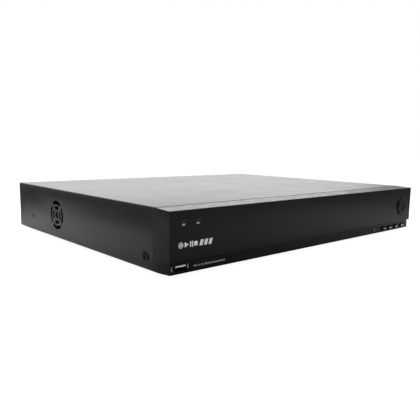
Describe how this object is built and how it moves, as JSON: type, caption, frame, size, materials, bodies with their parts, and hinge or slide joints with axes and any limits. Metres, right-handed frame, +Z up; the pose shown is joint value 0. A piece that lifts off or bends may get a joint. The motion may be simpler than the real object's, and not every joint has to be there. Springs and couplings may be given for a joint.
{
  "type": "video recorder",
  "caption": "Low wide video recorder: black folded steel case, glossy front plate over a key strip, round keypad, side fan vent and rear camera and network sockets.",
  "frame": {"origin": "on the ground, under the middle of the whole part, camera jacks and keypad included", "axes": "+Z up, the front plate faces -Y, +X to the right when looking at the front"},
  "size_m": [0.42, 0.3478, 0.061],
  "materials": {
    "cover_paint": "satin black powder coat on folded steel",
    "zinc_sheet": "zinc-plated sheet",
    "black_screw": "black zinc-plated screws",
    "bezel_plastic": "fine-grained black moulding",
    "gloss_plate": "glossy black plate",
    "key_plastic": "satin black keys",
    "lens": "pale translucent lens",
    "rubber": "matt black rubber",
    "socket_steel": "tinned steel shell",
    "dark_steel": "blackened steel shell of the front socket",
    "nickel": "nickel-plated turned brass",
    "white_plastic": "pale plastic",
    "black_plastic": "black moulding",
    "circuit_board": "green solder resist",
    "green_plastic": "green terminal plastic",
    "blue_plastic": "blue connector body",
    "drive_casting": "cast and machined",
    "aluminium": "extruded, natural",
    "cable": "red cable jacket"
  },
  "bodies": {
    "case": {"audio_block": "black_plastic", "bnc_housing": "black_plastic", "bnc_jack_1": "nickel", "bnc_jack_2": "nickel", "bnc_jack_3": "nickel", "bnc_jack_4": "nickel", "bnc_jack_5": "nickel", "bnc_jack_6": "nickel", "bnc_jack_7": "nickel", "bnc_jack_8": "nickel", "chassis_tray": "zinc_sheet", "coin_cell": "socket_steel", "drive_bracket_front": "zinc_sheet", "drive_bracket_rear": "zinc_sheet", "drive_data_cable": "cable", "drive_power_cable": "cable", "fan_frame": "black_plastic", "foot_front_left": "rubber", "foot_front_right": "rubber", "foot_rear_left": "rubber", "foot_rear_right": "rubber", "front_bezel": "bezel_plastic", "front_board": "circuit_board", "front_plate": "gloss_plate", "front_ribbon": "white_plastic", "hard_drive": "drive_casting", "hdmi_socket": "socket_steel", "heatsink": "aluminium", "ir_receiver": "black_plastic", "led_lens_power": "lens", "led_lens_record": "lens", "main_board": "circuit_board", "network_socket": "socket_steel", "power_jack": "black_plastic", "processor": "black_plastic", "rear_screw_left": "zinc_sheet", "rear_screw_middle": "zinc_sheet", "rear_screw_right": "zinc_sheet", "side_screw_front_left": "black_screw", "side_screw_front_right": "black_screw", "side_screw_rear_left": "black_screw", "side_screw_rear_right": "black_screw", "switch_frame": "black_plastic", "terminal_block": "green_plastic", "top_cover": "cover_paint", "usb_front_shell": "dark_steel", "usb_front_tongue": "white_plastic", "usb_rear_socket": "socket_steel", "vga_socket": "blue_plastic"},
    "function_key_1": {"function_key_1": "key_plastic"},
    "function_key_2": {"function_key_2": "key_plastic"},
    "function_key_3": {"function_key_3": "key_plastic"},
    "function_key_4": {"function_key_4": "key_plastic"},
    "nav_key_upper_left": {"nav_key_upper_left": "key_plastic"},
    "nav_key_upper_right": {"nav_key_upper_right": "key_plastic"},
    "nav_key_lower_left": {"nav_key_lower_left": "key_plastic"},
    "nav_key_lower_right": {"nav_key_lower_right": "key_plastic"},
    "nav_key_centre": {"nav_key_centre": "key_plastic"},
    "fan_rotor": {"fan_rotor": "black_plastic"},
    "power_rocker": {"power_rocker": "black_plastic"}
  },
  "joints": [
    {"name": "function_key_1_press", "type": "slide", "parent": "case", "child": "function_key_1", "axis": [0, 1, 0], "range_m": [0, 0.0008], "stiffness_N_per_m": 1200},
    {"name": "function_key_2_press", "type": "slide", "parent": "case", "child": "function_key_2", "axis": [0, 1, 0], "range_m": [0, 0.0008], "stiffness_N_per_m": 1200},
    {"name": "function_key_3_press", "type": "slide", "parent": "case", "child": "function_key_3", "axis": [0, 1, 0], "range_m": [0, 0.0008], "stiffness_N_per_m": 1200},
    {"name": "function_key_4_press", "type": "slide", "parent": "case", "child": "function_key_4", "axis": [0, 1, 0], "range_m": [0, 0.0008], "stiffness_N_per_m": 1200},
    {"name": "nav_key_upper_left_press", "type": "slide", "parent": "case", "child": "nav_key_upper_left", "axis": [0, 1, 0], "range_m": [0, 0.0008], "stiffness_N_per_m": 1200},
    {"name": "nav_key_upper_right_press", "type": "slide", "parent": "case", "child": "nav_key_upper_right", "axis": [0, 1, 0], "range_m": [0, 0.0008], "stiffness_N_per_m": 1200},
    {"name": "nav_key_lower_left_press", "type": "slide", "parent": "case", "child": "nav_key_lower_left", "axis": [0, 1, 0], "range_m": [0, 0.0008], "stiffness_N_per_m": 1200},
    {"name": "nav_key_lower_right_press", "type": "slide", "parent": "case", "child": "nav_key_lower_right", "axis": [0, 1, 0], "range_m": [0, 0.0008], "stiffness_N_per_m": 1200},
    {"name": "nav_key_centre_press", "type": "slide", "parent": "case", "child": "nav_key_centre", "axis": [0, 1, 0], "range_m": [0, 0.0008], "stiffness_N_per_m": 1200},
    {"name": "fan_spin", "type": "hinge", "parent": "case", "child": "fan_rotor", "pos_m": [-0.2024, 0.0479, 0.0305], "axis": [1, 0, 0], "continuous": true},
    {"name": "power_rocker_tilt", "type": "hinge", "parent": "case", "child": "power_rocker", "pos_m": [0.186, 0.1603, 0.032], "axis": [0, 0, 1], "range_deg": [0, 20]}
  ]
}
